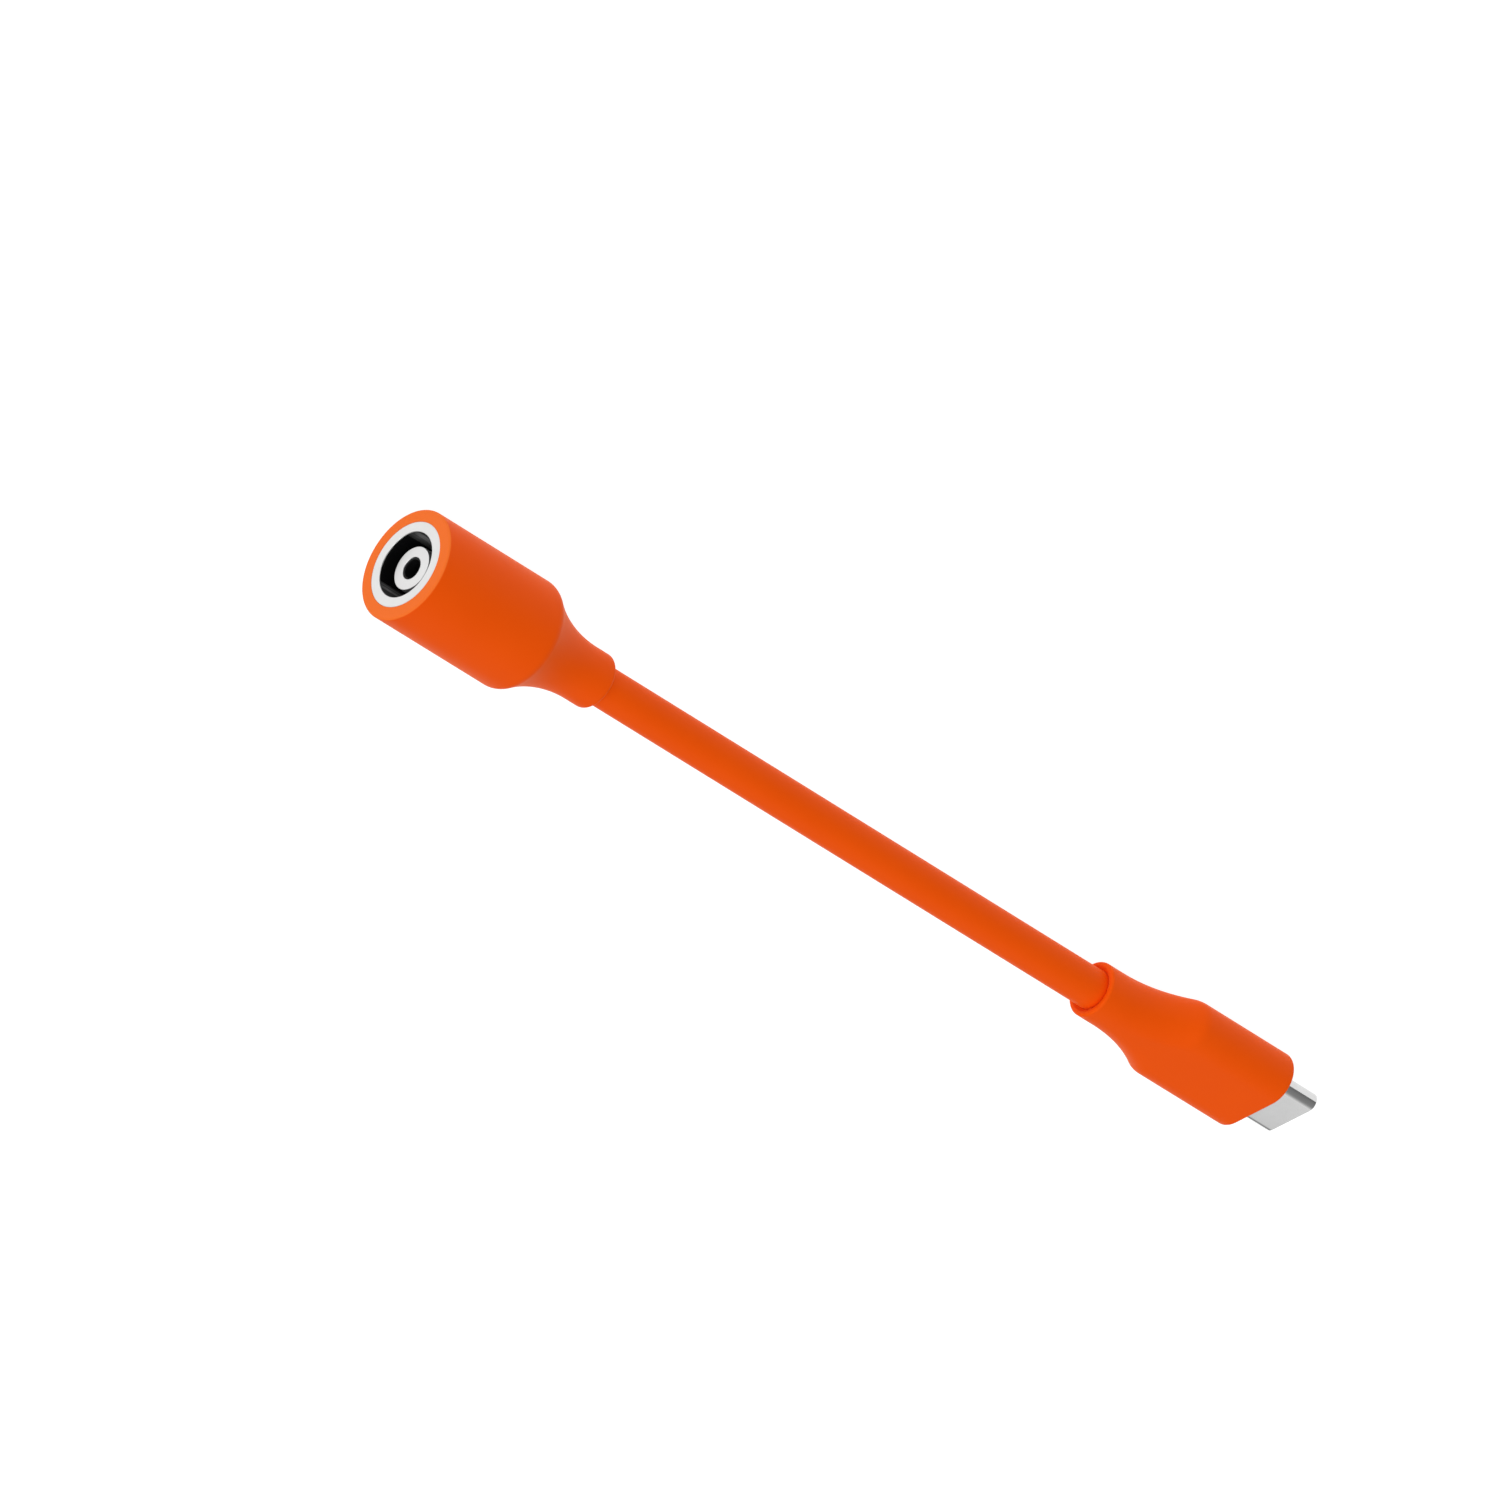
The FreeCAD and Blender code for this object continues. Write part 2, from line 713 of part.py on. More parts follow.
def surface_parts():
    """Chip resistors and capacitors, a row of four under the board and one each side of the chip."""
    top = board_thickness / 2
    long, wide, tall = small_part
    start = board_back + small_start
    pieces = []
    for y in small_lower_y:
        pieces.append(block(start, start + long, y, y + wide, -top - tall, -top))
    for y in small_upper_y:
        pieces.append(block(start, start + long, y, y + wide, top, top + tall))
    return group(pieces)


def plug_solder():
    start = board_back + plug_bead_start
    end = board_back + plug_bead_end
    top = board_thickness / 2
    under = block(start - 1, end + 1, -body_r, body_r, -body_r, top)
    red = round_joint(power_copper_r + solder_rise, start, end, 0, power_wire_offset)
    red = cut_all(red, [under, power_copper(1)])
    white = round_joint(sense_copper_r + sense_solder_rise, start, end, sense_wire_y, sense_wire_z)
    white = cut_all(white, [under, sense_copper()])
    return group([red, mirrored_z(red), white])


def can_envelope(inset):
    """Box around the board with rounded long edges, made smaller all round by inset."""
    wide = can_half_width - inset
    tall = can_half_height - inset
    box = block(can_back + inset, can_front - inset, -wide, wide, -tall, tall)
    long_edges = [e for e in box.Edges if e.BoundBox.XLength > 1]
    return box.makeFillet(can_corner_r - inset, long_edges)


def upper_can():
    wire_way = rod(jacket_bore_r, can_back, can_back + can_wall)
    shell_way = racetrack(shell_width, shell_height, shell_back, can_front)
    whole = cut_all(can_envelope(0), [can_envelope(can_wall), wire_way, shell_way])
    above = block(can_back, can_front, -body_r, body_r, 0, body_r)
    return whole.common(above)


def plug_pieces(cable):
    upper = contact_row(upper_places)
    lower = mirrored_z(contact_row(lower_places))
    pieces = {
        "plug_shell": plug_shell(),
        "plug_front_housing": plug_front_housing(),
        "upper_contacts": upper,
        "lower_contacts": lower,
        "upper_contact_carrier": contact_carrier(upper),
        "lower_contact_carrier": mirrored_z(contact_carrier(mirrored_z(lower))),
        "latch_plate": latch_plate(),
        "ground_springs": group([ground_pocket(), mirrored_z(ground_pocket())]),
        "circuit_board": circuit_board(),
        "controller_chip": controller_chip(),
        "surface_parts": surface_parts(),
        "plug_solder_joints": plug_solder(),
        "upper_shield_can": upper_can(),
        "lower_shield_can": mirrored_z(upper_can()),
        "cable_ferrule": cable_ferrule(),
    }
    filled = [can_envelope(0), racetrack(shell_width, shell_height, shell_back, tip_end)]
    mould = cut_all(inner_mould_space(), filled + list(cable.values()))
    pieces["plug_inner_mould"] = largest(mould)
    return pieces


def main():
    cable = cable_pieces()
    nodes = dict(cable)
    nodes.update(socket_pieces(cable))
    nodes["socket_overmould"] = socket_overmould()
    nodes.update(plug_pieces(cable))
    nodes["plug_overmould"] = plug_overmould()
    os.makedirs("parts", exist_ok=True)
    for name, shape in nodes.items():
        shape.exportStep("parts/" + name + ".step")
        print(f"{name}: {len(shape.Solids)} solid, valid {shape.isValid()}, {shape.Volume:.3f} mm3")
    print(f"overall length {tip_end:.2f}, cable jacket {jacket_end - jacket_start:.2f}, straight, no bends")


main()
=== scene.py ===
import math

import bpy
import numpy as np
from mathutils import Matrix, Vector


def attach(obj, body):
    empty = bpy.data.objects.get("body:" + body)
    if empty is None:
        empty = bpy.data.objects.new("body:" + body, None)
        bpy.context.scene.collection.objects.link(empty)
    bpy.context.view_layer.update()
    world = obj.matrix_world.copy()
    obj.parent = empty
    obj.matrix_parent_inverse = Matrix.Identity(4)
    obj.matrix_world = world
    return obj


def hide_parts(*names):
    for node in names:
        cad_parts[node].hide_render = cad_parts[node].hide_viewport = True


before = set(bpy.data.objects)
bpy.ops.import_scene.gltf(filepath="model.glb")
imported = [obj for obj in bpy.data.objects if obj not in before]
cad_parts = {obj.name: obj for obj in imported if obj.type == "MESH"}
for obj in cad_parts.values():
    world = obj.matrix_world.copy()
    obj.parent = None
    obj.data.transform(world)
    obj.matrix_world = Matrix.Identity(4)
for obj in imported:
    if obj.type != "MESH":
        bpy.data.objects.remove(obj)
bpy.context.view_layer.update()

# --- Viewpoint ---
# A long lens, high on the plug's broad side and nearly upside down, so that the socket's mouth
# faces the viewer at the upper left and the tip points away at the lower right.
lens_mm = 553.517
sensor_mm = 36.0
seat = Vector((-1.554762, 1.485189, 1.525838))
lens_up = Vector((-0.4200492, 0.3885466, -0.8201160))
lens_back = Vector((-0.6032953, 0.5555412, 0.5721964))
lens_right = lens_up.cross(lens_back)
lens = bpy.data.cameras.new("viewpoint")
lens.lens = lens_mm
lens.sensor_width = sensor_mm
lens.clip_start = 0.1
lens.clip_end = 20.0
viewpoint = bpy.data.objects.new("viewpoint", lens)
viewpoint.matrix_world = Matrix((lens_right, lens_up, lens_back)).transposed().to_4x4()
viewpoint.matrix_world.translation = seat
bpy.context.collection.objects.link(viewpoint)
bpy.context.scene.camera = viewpoint

# --- Cable jacket ---
# The real jacket is a 5 mm round tube of coloured elastomer, extruded over three wires and a filler.
# Both ends run on inside the mouldings, and the stiff short length lies straight between them.
MM = 0.001


def reach(node):
    """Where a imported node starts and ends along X, in millimetres to the nearest thousandth."""
    x = [round(corner[0] / MM, 3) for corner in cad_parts[node].bound_box]
    return min(x), max(x)


jacket_r = 2.5
cable_lead = 30.0
jacket_start, jacket_end = reach("cable_jacket")
collar_end = reach("socket_overmould")[1]
plug_rear, plug_front = reach("plug_overmould")
jacket_places = [jacket_start, collar_end + cable_lead, plug_rear - cable_lead, jacket_end]


class Brush:
    """A node socket in an expression: + - and * add Math nodes, and node() adds any other node."""

    def __init__(self, tree, socket=None):
        self.tree = tree
        self.socket = socket

    def node(self, kind, settings, sockets, out=0):
        made = self.tree.nodes.new(kind)
        for name, value in settings.items():
            setattr(made, name, value)
        for name, value in sockets.items():
            if isinstance(value, Brush):
                self.tree.links.new(value.socket, made.inputs[name])
            else:
                made.inputs[name].default_value = value
        return Brush(self.tree, made.outputs[out])

    def math(self, operation, *values):
        return self.node("ShaderNodeMath", {"operation": operation}, dict(enumerate(values)))

    def __add__(self, other):
        return self.math("ADD", self, other)

    def __radd__(self, other):
        return self.math("ADD", other, self)

    def __sub__(self, other):
        return self.math("SUBTRACT", self, other)

    def __rsub__(self, other):
        return self.math("SUBTRACT", other, self)

    def __mul__(self, other):
        return self.math("MULTIPLY", self, other)

    def __rmul__(self, other):
        return self.math("MULTIPLY", other, self)

    def blend(self, low, high):
        """The colour low where this is 0 and high where it is 1."""
        return self.node("ShaderNodeMix", {"data_type": "RGBA"}, {0: self, 6: low, 7: high}, 2)

    def noise(self, scale, detail=2.0, roughness=0.5):
        """Soft noise from 0 to 1 about a middle of a half, at so many waves to the metre."""
        sockets = {"Vector": self, "Scale": scale, "Detail": detail, "Roughness": roughness}
        return self.node("ShaderNodeTexNoise", {}, sockets)

    def stretched(self, x, y, z):
        """The same place with each direction scaled, for grain that runs along one of them."""
        return self.node("ShaderNodeMapping", {}, {"Vector": self, "Scale": (x, y, z)})

    def dents(self, depth, strength=1.0):
        """The shading normal of a relief of this height, depth in metres for a height of 1."""
        return self.node("ShaderNodeBump", {}, {"Height": self, "Distance": depth, "Strength": strength})


def finish_of(name, look, **fixed):
    """A material: fixed values straight on the shader's sockets, and look(place) for what varies."""
    made = bpy.data.materials.new(name)
    made.use_nodes = True
    tree = made.node_tree
    shader = tree.nodes["Principled BSDF"]
    for socket, value in fixed.items():
        shader.inputs[socket.replace("_", " ")].default_value = value
    place = Brush(tree).node("ShaderNodeTexCoord", {}, {}, "Object")
    for socket, value in look(place).items():
        tree.links.new(value.socket, shader.inputs[socket])
    return made


def orange_skin(place):
    """Soft-touch coloured elastomer: faint pigment mottle, uneven matt and the fine grain of the mould.

    The mouth face, the first third of a millimetre, is painted paler and yellower: painted light for the
    brighter light that falls on the end face.
    """
    mottle = place.noise(160.0, 3.0)
    grain = place.noise(9000.0, 3.0, 0.6)
    along = place.node("ShaderNodeSeparateXYZ", {}, {0: place})
    # Painted light: a paler colour over the first third of a millimetre behind the mouth face, for the
    # brightly lit end face.
    painted_light = place.node(
        "ShaderNodeMapRange", {"interpolation_type": "SMOOTHSTEP"},
        {"Value": along, "From Min": painted_light_to, "From Max": painted_light_from})
    return {
        "Base Color": painted_light.blend(mottle.blend(orange_deep, orange_light), orange_painted_light),
        "Roughness": 0.42 + 0.12 * mottle,
        "Normal": grain.dents(0.000004, 0.5),
    }


orange_deep = (0.862, 0.0855, 0.0012, 1.0)
orange_light = (0.900, 0.0938, 0.0018, 1.0)
# Painted light: the next colour is the paler face of the brightly lit mouth, and the two limits below set
# how far back from the face it reaches.
orange_painted_light = (0.895, 0.166, 0.024, 1.0)
painted_light_from = 0.00012
painted_light_to = 0.00030
orange_rubber = finish_of(
    "orange_rubber", orange_skin, Specular_IOR_Level=0.04, Sheen_Weight=0.14, Sheen_Roughness=0.35,
    Sheen_Tint=(1.0, 0.62, 0.22, 1.0))

jacket_line = bpy.data.curves.new("cable_jacket_line", "CURVE")
jacket_line.dimensions = "3D"
jacket_line.bevel_depth = jacket_r * MM
jacket_line.bevel_resolution = 14
jacket_line.resolution_u = 20
jacket_line.use_fill_caps = True
spline = jacket_line.splines.new("NURBS")
spline.points.add(len(jacket_places) - 1)
for point, x in zip(spline.points, jacket_places):
    point.co = (x * MM, 0.0, 0.0, 1.0)
spline.order_u = 3
spline.use_endpoint_u = True
jacket_line.materials.append(orange_rubber)
jacket = bpy.data.objects.new("orange_cable_jacket", jacket_line)
bpy.context.collection.objects.link(jacket)
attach(jacket, "root")
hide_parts("cable_jacket")

# --- Socket overmould ---
# The round body is injection moulded in the same orange elastomer over the finished contacts.
# It is turned in shape: straight body, rounded shoulder, hollow neck and a collar that grips the cable.
body_r = 7.0
body_length = 18.4
mouth_fillet = 0.3
shoulder_r = 1.8
neck_r = 17.2
collar_r = 3.5
collar_fillet = 0.5
barrel_r = 5.42
base_end = 14.0
inner_mould_r = 5.22
ferrule_seat_r = 3.0
mould_past_body = 0.4
mould_overlap = 1.0
relief_r = 3.0
relief_depth = 0.4
crease = math.radians(40.0)


def run(start, end, edge=0.04):
    """Straight line, with a point close to each end so that smooth shading stays off the flat."""
    start, end = np.array(start, float), np.array(end, float)
    near = min(edge / np.linalg.norm(end - start), 0.25)
    share = np.array([0.0, near, 0.5, 1 - near, 1.0])[:, None]
    return start + share * (end - start)


def bend(centre, radius, start, end, count=12):
    """Arc: centre + radius times (cosine, sine) of the angle, from start to end in degrees."""
    angle = np.radians(np.linspace(start, end, count + 1))
    return np.array(centre, float) + radius * np.column_stack([np.cos(angle), np.sin(angle)])


def joined(*parts):
    """The parts end to end as one outline, without the points that repeat."""
    line = np.vstack(parts)
    step = np.linalg.norm(np.diff(line, axis=0), axis=1)
    line = line[np.concatenate([[True], step > 1e-6])]
    return line[:-1] if np.linalg.norm(line[0] - line[-1]) < 1e-6 else line


def shell(name, points, faces, material, slot, *nodes):
    """A mesh piece at the origin from points in millimetres and four-sided faces.

    The sum of the faces' signed volumes tells which way they point, and they are turned to face outwards.
    """
    a, b, c, d = (points[faces[:, i]] for i in range(4))
    volume = (a * np.cross(b, c)).sum() + (a * np.cross(c, d)).sum()
    if volume < 0:
        faces = faces[:, ::-1]
    mesh = bpy.data.meshes.new(name)
    mesh.vertices.add(len(points))
    mesh.vertices.foreach_set("co", (points * MM).astype(np.float32).ravel())
    mesh.loops.add(faces.size)
    mesh.loops.foreach_set("vertex_index", faces.astype(np.int32).ravel())
    mesh.polygons.add(len(faces))
    mesh.polygons.foreach_set("loop_start", np.arange(0, faces.size, 4, dtype=np.int32))
    mesh.polygons.foreach_set("use_smooth", np.ones(len(faces), bool))
    mesh.update(calc_edges=True)
    mesh.set_sharp_from_angle(angle=crease)
    mesh.materials.append(material)
    piece = bpy.data.objects.new(name, mesh)
    bpy.context.collection.objects.link(piece)
    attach(piece, "root")
    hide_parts(*nodes)


def skin(name, grid, material, slot, *nodes):
    """A closed surface from a grid of points, rows round the outline and columns round the piece."""
    rows, columns = grid.shape[:2]
    index = np.arange(rows * columns).reshape(rows, columns)
    next_row, next_column = np.roll(index, -1, 0), np.roll(index, -1, 1)
    faces = np.stack([index, next_row, np.roll(next_row, -1, 1), next_column], -1).reshape(-1, 4)
    shell(name, grid.reshape(-1, 3), faces, material, slot, *nodes)


def lathed(outline, columns=192):
    """Turned surface: each (x, radius) swept round X, at radius times (cosine, sine) of the angle."""
    angle = np.linspace(0, 2 * math.pi, columns, endpoint=False)
    x = np.repeat(outline[:, :1], columns, 1)
    return np.stack([x, outline[:, 1:] * np.cos(angle), outline[:, 1:] * np.sin(angle)], -1)


neck_angle = math.degrees(math.acos(1 - (body_r - collar_r) / (shoulder_r + neck_r)))
neck_end = body_length + (shoulder_r + neck_r) * math.sin(math.radians(neck_angle))
mould_wide_end = body_length + mould_past_body
mould_slim_end = jacket_start + mould_overlap
socket_outline = joined(
    run((0, barrel_r), (0, body_r - mouth_fillet)),
    bend((mouth_fillet, body_r - mouth_fillet), mouth_fillet, 180, 90, 8),
    run((mouth_fillet, body_r), (body_length, body_r)),
    bend((body_length, body_r - shoulder_r), shoulder_r, 90, 90 - neck_angle, 16),
    bend((neck_end, collar_r + neck_r), neck_r, 270 - neck_angle, 270, 40),
    run((neck_end, collar_r), (collar_end - collar_fillet, collar_r)),
    bend((collar_end - collar_fillet, collar_r - collar_fillet), collar_fillet, 90, 0, 10),
    run((collar_end, collar_r - collar_fillet), (collar_end, relief_r)),
    run((collar_end, relief_r), (collar_end - relief_depth, jacket_r)),
    run((collar_end - relief_depth, jacket_r), (mould_slim_end, jacket_r)),
    run((mould_slim_end, jacket_r), (mould_slim_end, ferrule_seat_r)),
    run((mould_slim_end, ferrule_seat_r), (mould_wide_end, inner_mould_r)),
    run((mould_wide_end, inner_mould_r), (base_end, inner_mould_r)),
    run((base_end, inner_mould_r), (base_end, barrel_r)),
    run((base_end, barrel_r), (0, barrel_r)))
skin(
    "orange_socket_body", lathed(socket_outline), orange_rubber, "orange_overmould",
    "socket_overmould")

# --- Outer contact barrel ---
# The outer pole is a tube turned from brass and nickel plated, flush with the mouth of the body.
# Its front lip is faced flat, which shows as a bright ring with fine turning marks.
bore_r = 4.15
liner_r = 4.6
barrel_chamfer = 0.08
barrel_lip = 0.15
silver_deep = (0.69, 0.69, 0.686, 1.0)
silver_light = (0.76, 0.76, 0.756, 1.0)


def turned_silver(place):
    """Nickel plate over turned metal: rings about the axis and a faint cloud in the plate."""
    flat = place.stretched(0.0, 1.0, 1.0)
    radius = place.node("ShaderNodeVectorMath", {"operation": "LENGTH"}, {0: flat}, "Value")
    rings = place.node(
        "ShaderNodeTexNoise", {"noise_dimensions": "1D"}, {"W": radius, "Scale": 14000.0, "Detail": 2.0})
    cloud = place.noise(420.0, 3.0)
    return {
        "Base Color": cloud.blend(silver_deep, silver_light),
        "Roughness": 0.30 + 0.06 * rings + 0.04 * cloud,
        "Normal": rings.dents(0.0000008, 0.25),
    }


nickel = finish_of("nickel_plate", turned_silver, Metallic=1.0)
barrel_outline = joined(
    bend((barrel_chamfer, bore_r + barrel_chamfer), barrel_chamfer, 180, 270, 4)[::-1],
    run((0, bore_r + barrel_chamfer), (0, barrel_r - barrel_chamfer)),
    bend((barrel_chamfer, barrel_r - barrel_chamfer), barrel_chamfer, 180, 90, 4),
    run((barrel_chamfer, barrel_r), (base_end, barrel_r)),
    run((base_end, barrel_r), (base_end, liner_r)),
    run((base_end, liner_r), (barrel_lip, liner_r)),
    run((barrel_lip, liner_r), (barrel_lip, bore_r)),
    run((barrel_lip, bore_r), (barrel_chamfer, bore_r)))
skin("nickel_contact_barrel", lathed(barrel_outline), nickel, "nickel_plate", "outer_barrel")

# --- Bore liner and contact leaves ---
# A moulded black nylon sleeve lines the bore, with four windows where a sprung leaf bows inward.
# The sleeve is polished inside, with fine marks from the core being drawn out.
socket_depth = 11.5
window_start = 6.2
window_end = 10.8
window_half_turn = math.radians(10.6)
window_count = 4
first_window = math.radians(45.0)
nylon_deep = (0.0015, 0.0015, 0.0017, 1.0)
nylon_light = (0.006, 0.006, 0.0065, 1.0)


def drawn_nylon(place):
    """Black nylon polished along the axis: noise squeezed along X gives long fine streaks.

    Two opposite sides carry a grey painted sheen in streaks, a painted reflection of light from outside. Its
    mask follows the square of the cosine of the angle from the lit diagonal, and it comes in gradually
    behind the rim.
    """
    streaks = place.stretched(0.02, 1.0, 1.0).noise(5200.0, 4.0, 0.65)
    flat = place.stretched(0.0, 1.0, 1.0)
    outward = place.node("ShaderNodeVectorMath", {"operation": "NORMALIZE"}, {0: flat}, "Vector")
    side = place.node(
        "ShaderNodeVectorMath", {"operation": "DOT_PRODUCT"}, {0: outward, 1: sheen_side}, "Value")
    sector = place.node(
        "ShaderNodeMapRange", {"interpolation_type": "SMOOTHSTEP"},
        {"Value": side * side, "From Min": sheen_edge, "From Max": sheen_full})
    depth = place.node("ShaderNodeSeparateXYZ", {}, {0: place})
    # Painted highlight: the painted sheen is weakest at the rim and full a few millimetres in, following how
    # light falls into the bore.
    sheen_depth_fade = place.node(
        "ShaderNodeMapRange", {},
        {"Value": depth, "From Min": sheen_start, "From Max": sheen_end, "To Min": sheen_least})
    sheen_streaks = place.stretched(0.02, 1.0, 1.0).noise(1700.0, 2.0, 0.5)
    lines = place.node(
        "ShaderNodeMapRange", {},
        {"Value": sheen_streaks, "From Min": sheen_streak_low, "From Max": sheen_streak_high, "To Min": sheen_streak_least})
    # Painted highlight: the side sector, the fade in from the rim and the streaks together mask the grey
    # painted sheen.
    painted_sheen = sector * sheen_depth_fade * lines
    return {
        "Base Color": painted_sheen.blend(streaks.blend(nylon_deep, nylon_light), nylon_painted_sheen),
        "Roughness": 0.12 + 0.16 * streaks + 0.3 * sector,
        "Normal": streaks.dents(0.000012, 0.6),
    }


# Painted highlight: the grey of the painted sheen on two opposite sides of the bore, the diagonal it centres
# on, its spread, its fade in from the rim and its streaks.
nylon_painted_sheen = (0.55, 0.55, 0.55, 1.0)
sheen_side = (0.0, 0.7071, -0.7071)
sheen_edge = 0.50
sheen_full = 0.60
sheen_start = 0.0002
sheen_end = 0.0042
sheen_least = 0.14
sheen_streak_low = 0.49
sheen_streak_high = 0.57
sheen_streak_least = 0.20
black_nylon = finish_of("black_nylon", drawn_nylon, Specular_IOR_Level=0.55)


def liner_points(radius, along, around):
    """Points of one wall of the sleeve: each place along X at the radius, for each angle around."""
    x = np.repeat(along[:, None], len(around), 1)
    angle = np.repeat(around[None, :], len(along), 0)
    return np.stack([x, radius * np.cos(angle), radius * np.sin(angle)], -1)


window_pitch = 2 * math.pi / window_count
windows = first_window + np.arange(window_count) * window_pitch
between = np.linspace(window_half_turn, window_pitch - window_half_turn, 29)
across = np.linspace(-window_half_turn, window_half_turn, 9)[:-1]
around = np.concatenate([windows[:, None] + across, windows[:, None] + between[:-1]], 1)
around = np.sort(around.ravel())
along = np.concatenate([
    np.linspace(barrel_lip, window_start, 8)[:-1], np.linspace(window_start, window_end, 9),
    np.linspace(window_end, socket_depth, 3)[1:]])
inside = liner_points(bore_r, along, around)
outside = liner_points(liner_r, along, around)
cell_x = (along[:-1] + along[1:]) / 2
cell_turn = (around + np.append(around[1:], around[0] + 2 * math.pi)) / 2
off_centre = (cell_turn[:, None] - windows + math.pi) % (2 * math.pi) - math.pi
off_window = np.abs(off_centre).min(1) > window_half_turn
solid = ((cell_x < window_start) | (cell_x > window_end))[:, None] | off_window[None, :]
rows, columns = len(along), len(around)
index = np.arange(rows * columns).reshape(rows, columns)
index_on = np.roll(index, -1, 1)
inner_cell = np.stack([index[:-1], index_on[:-1], index_on[1:], index[1:]], -1)
outer_cell = inner_cell[..., ::-1] + rows * columns
walls = [inner_cell[solid], outer_cell[solid]]
padded_rows = np.vstack([np.zeros((1, columns), bool), solid, np.zeros((1, columns), bool)])
front_open = solid & ~padded_rows[:-2]
back_open = solid & ~padded_rows[2:]
left_open = solid & ~np.roll(solid, 1, 1)
right_open = solid & ~np.roll(solid, -1, 1)
for open_side, first, second in (
        (front_open, 1, 0), (back_open, 3, 2), (left_open, 0, 3), (right_open, 2, 1)):
    cell = inner_cell[open_side]
    a, b = cell[:, first], cell[:, second]
    walls.append(np.stack([a, b, b + rows * columns, a + rows * columns], -1))
liner_verts = np.vstack([inside.reshape(-1, 3), outside.reshape(-1, 3)])
shell("black_bore_liner", liner_verts, np.vstack(walls), black_nylon, "black_nylon", "bore_liner")


def sprung_bronze(place):
    """Nickel plated bronze strip: grain along the leaf and slightly yellow where the plate is thin."""
    grain = place.stretched(0.1, 1.0, 1.0).noise(9000.0, 3.0)
    return {
        "Base Color": grain.blend((0.62, 0.57, 0.47, 1.0), (0.80, 0.78, 0.72, 1.0)),
        "Roughness": 0.22 + 0.18 * grain,
        "Normal": grain.dents(0.000002, 0.4),
    }


def paint(finish, *nodes):
    """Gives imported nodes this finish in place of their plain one."""
    for node in nodes:
        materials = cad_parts[node].data.materials
        materials.clear()
        materials.append(finish)


paint(finish_of("leaf_bronze", sprung_bronze, Metallic=1.0), "barrel_springs", "ground_springs")

# --- Centre contact ---
# The inner pole is a turned nickel-plated tube that stands a little behind the mouth.
# A black insulator lines its hole and holds a gilt pin contact well down inside it.
centre_tube_r = 2.75
centre_seat_r = 2.4
centre_hole_r = 1.4
tube_front = 1.0
tube_end = 15.0
tube_chamfer = 0.08
tube_outline = joined(
    bend((tube_front + tube_chamfer, centre_hole_r + tube_chamfer), tube_chamfer, 180, 270, 4)[::-1],
    run((tube_front, centre_hole_r + tube_chamfer), (tube_front, centre_tube_r - tube_chamfer)),
    bend((tube_front + tube_chamfer, centre_tube_r - tube_chamfer), tube_chamfer, 180, 90, 4),
    run((tube_front + tube_chamfer, centre_tube_r), (socket_depth, centre_tube_r)),
    run((socket_depth, centre_tube_r), (socket_depth, centre_seat_r)),
    run((socket_depth, centre_seat_r), (tube_end, centre_seat_r)),
    run((tube_end, centre_seat_r), (tube_end, centre_hole_r)),
    run((tube_end, centre_hole_r), (tube_front + tube_chamfer, centre_hole_r)))
skin("nickel_centre_tube", lathed(tube_outline, 128), nickel, "nickel_plate", "centre_tube")


def matt_nylon(place):
    """Black nylon as it leaves the mould: fine spark-eroded grain and a slight bloom."""
    bloom = place.noise(700.0, 3.0)
    grain = place.noise(16000.0, 2.0)
    return {
        "Base Color": bloom.blend((0.002, 0.002, 0.0023, 1.0), (0.007, 0.007, 0.0075, 1.0)),
        "Roughness": 0.42 + 0.2 * bloom,
        "Normal": grain.dents(0.000004, 0.6),
    }


mould_black = finish_of("mould_black", matt_nylon, Specular_IOR_Level=0.2)
paint(
    mould_black, "socket_base", "plug_front_housing", "upper_contact_carrier",
    "lower_contact_carrier")
sleeve_r = 1.2
sleeve_rim = 1.15
insulator_face = 4.0
insulator_end = 15.5
pin_contact_r = 0.65
insulator_outline = joined(
    run((sleeve_rim, sleeve_r), (sleeve_rim, centre_hole_r)),
    run((sleeve_rim, centre_hole_r), (insulator_end, centre_hole_r)),
    run((insulator_end, centre_hole_r), (insulator_end, pin_contact_r)),
    run((insulator_end, pin_contact_r), (insulator_face, pin_contact_r)),
    run((insulator_face, pin_contact_r), (insulator_face, sleeve_r)),
    run((insulator_face, sleeve_r), (sleeve_rim, sleeve_r)))
skin("black_pin_insulator", lathed(insulator_outline, 96), mould_black, "black_nylon", "pin_insulator")


def gilt(place):
    """Thin gold over nickel: warm, with paler wear in small patches."""
    wear = place.noise(2600.0, 4.0, 0.6)
    return {
        "Base Color": wear.blend((0.93, 0.60, 0.20, 1.0), (0.97, 0.72, 0.36, 1.0)),
        "Roughness": 0.16 + 0.16 * wear,
        "Normal": wear.dents(0.000001, 0.4),
    }


gold = finish_of("gold_plate", gilt, Metallic=1.0)
paint(gold, "pin_contact", "upper_contacts", "lower_contacts")

# --- Plug overmould ---
# The grip is injection moulded in the same elastomer over the shielded plug: two half rounds with flats
# between them, that part from each other along a hollow flare and stay apart along the straight grip.
side_round_r = 3.5
grip_collar = 3.0
flare_start = plug_rear + grip_collar
collar_flat = 0.05
flare_r = 21.4
grip_shoulder_r = 3.0
grip_flat = 2.9
grip_front_fillet = 0.28
grip_rear_fillet = 0.35
shell_flat = 2.925
shell_r = 1.2
mould_wall = 1.0
front_wall = 1.5
fillet_points = 9
mould_first = 13    # point of the flare from which the cavity tapers down to the jacket


